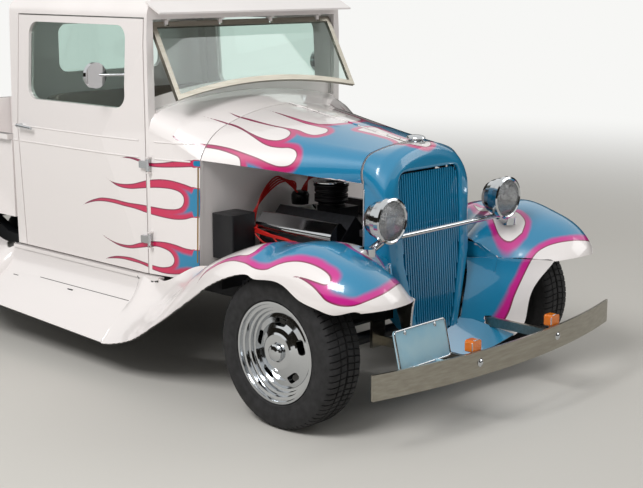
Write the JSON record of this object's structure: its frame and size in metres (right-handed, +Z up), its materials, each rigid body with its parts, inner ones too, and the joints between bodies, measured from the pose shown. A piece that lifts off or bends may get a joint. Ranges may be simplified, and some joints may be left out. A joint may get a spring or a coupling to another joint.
{
  "type": "hot rod pickup truck",
  "caption": "Custom pickup with closed cab, open engine bay, sweeping fenders and a bed; turning, steered wheels and hinged doors, bonnet, tailgate and screen.",
  "frame": {"origin": "on the ground, midway between the bumper and the tailgate on the centre plane", "axes": "+Y towards the tailgate, the front faces -Y, +X is the left side of the vehicle, +Z up"},
  "size_m": [1.7302, 4.4998, 1.7119],
  "materials": {
    "paint_white": "gloss",
    "paint_blue": "gloss",
    "chassis_black": "satin",
    "chrome": "polished",
    "tyre": "matt",
    "engine_metal": "satin",
    "pipe_steel": "satin",
    "black_metal": "satin",
    "bumper_metal": "dull",
    "glass": "clear",
    "lens_glass": "clear",
    "amber": "gloss",
    "red_lens": "gloss",
    "seat_cloth": "woven",
    "plate_face": "gloss",
    "black_plastic": "matt"
  },
  "bodies": {
    "truck": {"air_cleaner": "black_metal", "battery": "black_plastic", "bed": "paint_white", "bonnet_hinge": "chrome", "cab": "paint_white", "cab_floor": "chassis_black", "chassis_frame": "chassis_black", "cowl": "paint_white", "engine": "engine_metal", "exhaust": "pipe_steel", "front_axle": "chassis_black", "front_bumper": "bumper_metal", "front_fender_l": "paint_blue", "front_fender_r": "paint_blue", "front_pan": "paint_blue", "grille_bars": "paint_blue", "grille_shell": "paint_blue", "headlamp_lenses": "lens_glass", "headlamps": "chrome", "number_plate": "plate_face", "radiator": "black_metal", "rear_axle": "chassis_black", "rear_fender_l": "paint_white", "rear_fender_r": "paint_white", "rear_glass": "glass", "running_board_l": "paint_white", "running_board_r": "paint_white", "seat": "seat_cloth", "steering_wheel": "black_plastic", "tail_lamps": "red_lens", "turn_lamps": "amber", "valve_covers": "chrome"},
    "knuckle_l": {"knuckle_l": "chassis_black"},
    "knuckle_r": {"knuckle_r": "chassis_black"},
    "door_l": {"door_l": "paint_white", "door_glass_l": "glass", "door_trim_l": "chrome"},
    "door_r": {"door_r": "paint_white", "door_glass_r": "glass", "door_trim_r": "chrome"},
    "bonnet_l": {"bonnet_top_l": "paint_blue"},
    "bonnet_r": {"bonnet_top_r": "paint_blue"},
    "tailgate": {"tailgate": "paint_white"},
    "screen": {"screen_frame": "bumper_metal", "screen_glass": "glass"},
    "wheel_fl": {"tyre_fl": "tyre", "wheel_fl": "chrome"},
    "wheel_fr": {"tyre_fr": "tyre", "wheel_fr": "chrome"},
    "wheel_rl": {"tyre_rl": "tyre", "wheel_rl": "chrome"},
    "wheel_rr": {"tyre_rr": "tyre", "wheel_rr": "chrome"}
  },
  "joints": [
    {"name": "steer_l", "type": "hinge", "parent": "truck", "child": "knuckle_l", "pos_m": [0.56, -1.632, 0.313], "axis": [0, 0, 1], "range_deg": [-28, 28]},
    {"name": "steer_r", "type": "hinge", "parent": "truck", "child": "knuckle_r", "pos_m": [-0.56, -1.632, 0.313], "axis": [0, 0, 1], "range_deg": [-28, 28]},
    {"name": "spin_fl", "type": "hinge", "parent": "knuckle_l", "child": "wheel_fl", "pos_m": [0.708, -1.632, 0.313], "axis": [1, 0, 0], "continuous": true},
    {"name": "spin_fr", "type": "hinge", "parent": "knuckle_r", "child": "wheel_fr", "pos_m": [-0.708, -1.632, 0.313], "axis": [1, 0, 0], "continuous": true},
    {"name": "spin_rl", "type": "hinge", "parent": "truck", "child": "wheel_rl", "pos_m": [0.72, 1.213, 0.313], "axis": [1, 0, 0], "continuous": true},
    {"name": "spin_rr", "type": "hinge", "parent": "truck", "child": "wheel_rr", "pos_m": [-0.72, 1.213, 0.313], "axis": [1, 0, 0], "continuous": true},
    {"name": "door_l_hinge", "type": "hinge", "parent": "truck", "child": "door_l", "pos_m": [0.628, -0.674, 0.774], "axis": [0, 0, -1], "range_deg": [0, 65]},
    {"name": "door_r_hinge", "type": "hinge", "parent": "truck", "child": "door_r", "pos_m": [-0.628, -0.674, 0.774], "axis": [0, 0, 1], "range_deg": [0, 65]},
    {"name": "bonnet_l_hinge", "type": "hinge", "parent": "truck", "child": "bonnet_l", "pos_m": [0, -1.628, 1.072], "axis": [0, -0.9861, -0.166], "range_deg": [0, 62]},
    {"name": "bonnet_r_hinge", "type": "hinge", "parent": "truck", "child": "bonnet_r", "pos_m": [0, -1.628, 1.072], "axis": [0, 0.9861, 0.166], "range_deg": [0, 62]},
    {"name": "tailgate_hinge", "type": "hinge", "parent": "truck", "child": "tailgate", "pos_m": [0, 2.236, 0.58], "axis": [-1, 0, 0], "range_deg": [0, 90]},
    {"name": "screen_hinge", "type": "hinge", "parent": "truck", "child": "screen", "pos_m": [0, -0.632, 1.556], "axis": [-1, 0, 0], "range_deg": [-25.6, 12]}
  ],
  "couplings": [
    {"joint": "steer_r", "follows": "steer_l", "ratio": 1}
  ]
}
